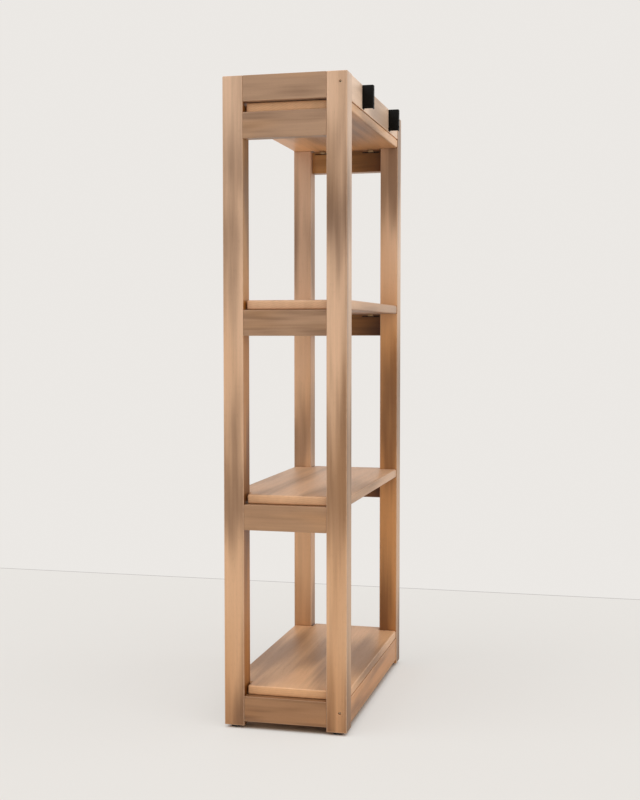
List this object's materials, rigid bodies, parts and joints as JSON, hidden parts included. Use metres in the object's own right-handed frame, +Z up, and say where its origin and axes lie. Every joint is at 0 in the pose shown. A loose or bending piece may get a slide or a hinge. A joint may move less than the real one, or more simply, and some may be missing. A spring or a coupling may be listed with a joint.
{
  "type": "shelving unit",
  "caption": "Tall open wooden shelving unit with post-and-rail ends, notched shelves, black wall brackets and levelling feet.",
  "frame": {"origin": "centre of the whole unit's bounding box, at the floor under the feet", "axes": "+X runs along the shelves to the right-hand end as seen from the front, -Y is the front, +Y the wall side with the back rails and wall brackets, +Z is up"},
  "size_m": [0.9, 0.4236, 2.01],
  "materials": {
    "post_wood": "satin, hard wax oil on light peach-brown wood with soft grey-brown streaks",
    "rail_wood": "satin, grey-brown with streaks along the rail",
    "shelf_wood": "satin, tan with grey-brown streaks along the board",
    "black_steel": "black powder coat, semi-gloss",
    "zinc_steel": "bright zinc plate",
    "brass": "turned",
    "black_plastic": "moulded, matt"
  },
  "bodies": {
    "unit": {"right_front_post": "post_wood", "right_back_post": "post_wood", "left_front_post": "post_wood", "left_back_post": "post_wood", "right_bottom_shelf_rail": "rail_wood", "right_lower_middle_shelf_rail": "rail_wood", "right_upper_middle_shelf_rail": "rail_wood", "right_top_shelf_rail": "rail_wood", "left_bottom_shelf_rail": "rail_wood", "left_lower_middle_shelf_rail": "rail_wood", "left_upper_middle_shelf_rail": "rail_wood", "left_top_shelf_rail": "rail_wood", "right_top_rail": "rail_wood", "left_top_rail": "rail_wood", "bottom_back_rail": "rail_wood", "top_back_rail": "rail_wood", "bottom_shelf": "shelf_wood", "lower_middle_shelf": "shelf_wood", "upper_middle_shelf": "shelf_wood", "top_shelf": "shelf_wood", "right_wall_bracket": "black_steel", "left_wall_bracket": "black_steel", "right_bottom_back_rail_bolt": "zinc_steel", "right_top_back_rail_bolt": "zinc_steel", "left_bottom_back_rail_bolt": "zinc_steel", "left_top_back_rail_bolt": "zinc_steel", "right_bottom_back_rail_barrel_nut": "zinc_steel", "right_top_back_rail_barrel_nut": "zinc_steel", "left_bottom_back_rail_barrel_nut": "zinc_steel", "left_top_back_rail_barrel_nut": "zinc_steel", "right_front_bottom_shelf_clip": "zinc_steel", "right_back_bottom_shelf_clip": "zinc_steel", "left_front_bottom_shelf_clip": "zinc_steel", "left_back_bottom_shelf_clip": "zinc_steel", "right_front_lower_middle_shelf_clip": "zinc_steel", "right_back_lower_middle_shelf_clip": "zinc_steel", "left_front_lower_middle_shelf_clip": "zinc_steel", "left_back_lower_middle_shelf_clip": "zinc_steel", "right_front_upper_middle_shelf_clip": "zinc_steel", "right_back_upper_middle_shelf_clip": "zinc_steel", "left_front_upper_middle_shelf_clip": "zinc_steel", "left_back_upper_middle_shelf_clip": "zinc_steel", "right_front_top_shelf_clip": "zinc_steel", "right_back_top_shelf_clip": "zinc_steel", "left_front_top_shelf_clip": "zinc_steel", "left_back_top_shelf_clip": "zinc_steel", "right_front_foot_insert": "brass", "right_back_foot_insert": "brass", "left_front_foot_insert": "brass", "left_back_foot_insert": "brass"},
    "right_front_pad": {"right_front_foot_pad": "black_plastic"},
    "right_front_stud": {"right_front_foot_stud": "zinc_steel"},
    "right_back_pad": {"right_back_foot_pad": "black_plastic"},
    "right_back_stud": {"right_back_foot_stud": "zinc_steel"},
    "left_front_pad": {"left_front_foot_pad": "black_plastic"},
    "left_front_stud": {"left_front_foot_stud": "zinc_steel"},
    "left_back_pad": {"left_back_foot_pad": "black_plastic"},
    "left_back_stud": {"left_back_foot_stud": "zinc_steel"}
  },
  "joints": [
    {"name": "right_front_foot_height", "type": "slide", "parent": "unit", "child": "right_front_pad", "axis": [0, 0, -1], "range_m": [0, 0.01]},
    {"name": "right_front_stud_turn", "type": "hinge", "parent": "right_front_pad", "child": "right_front_stud", "pos_m": [0.418, -0.17975, 0.01], "axis": [0, 0, -1], "range_deg": [0, 2880]},
    {"name": "right_back_foot_height", "type": "slide", "parent": "unit", "child": "right_back_pad", "axis": [0, 0, -1], "range_m": [0, 0.01]},
    {"name": "right_back_stud_turn", "type": "hinge", "parent": "right_back_pad", "child": "right_back_stud", "pos_m": [0.418, 0.14625, 0.01], "axis": [0, 0, -1], "range_deg": [0, 2880]},
    {"name": "left_front_foot_height", "type": "slide", "parent": "unit", "child": "left_front_pad", "axis": [0, 0, -1], "range_m": [0, 0.01]},
    {"name": "left_front_stud_turn", "type": "hinge", "parent": "left_front_pad", "child": "left_front_stud", "pos_m": [-0.418, -0.17975, 0.01], "axis": [0, 0, -1], "range_deg": [0, 2880]},
    {"name": "left_back_foot_height", "type": "slide", "parent": "unit", "child": "left_back_pad", "axis": [0, 0, -1], "range_m": [0, 0.01]},
    {"name": "left_back_stud_turn", "type": "hinge", "parent": "left_back_pad", "child": "left_back_stud", "pos_m": [-0.418, 0.14625, 0.01], "axis": [0, 0, -1], "range_deg": [0, 2880]}
  ],
  "couplings": [
    {"joint": "right_front_stud_turn", "follows": "right_front_foot_height", "rad_per_m": 5026.5},
    {"joint": "right_back_stud_turn", "follows": "right_back_foot_height", "rad_per_m": 5026.5},
    {"joint": "left_front_stud_turn", "follows": "left_front_foot_height", "rad_per_m": 5026.5},
    {"joint": "left_back_stud_turn", "follows": "left_back_foot_height", "rad_per_m": 5026.5}
  ]
}
